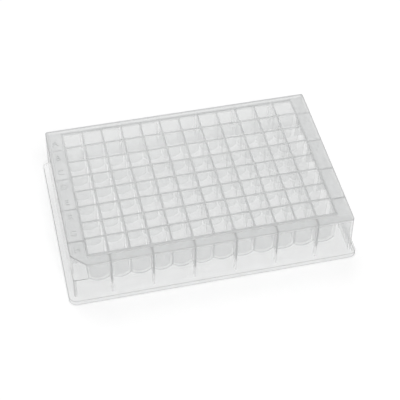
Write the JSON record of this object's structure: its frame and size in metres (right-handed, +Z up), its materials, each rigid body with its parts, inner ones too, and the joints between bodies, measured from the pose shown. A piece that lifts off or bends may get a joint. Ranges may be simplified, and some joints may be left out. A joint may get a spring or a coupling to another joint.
{
  "type": "well plate",
  "caption": "Rectangular well plate: a raised grid of square, round-bottomed wells on a ribbed, tapering skirt with a flanged foot and one notched corner.",
  "frame": {"origin": "centre of the footprint, on the surface that the foot stands on", "axes": "+X along the long side from column 1 to column 12, +Y along the short side from row H to row A, +Z up through the well mouths"},
  "size_m": [0.1278, 0.0854, 0.024],
  "materials": {
    "polypropylene": "satin"
  },
  "bodies": {
    "root": {"well_plate": "polypropylene"}
  },
  "joints": []
}
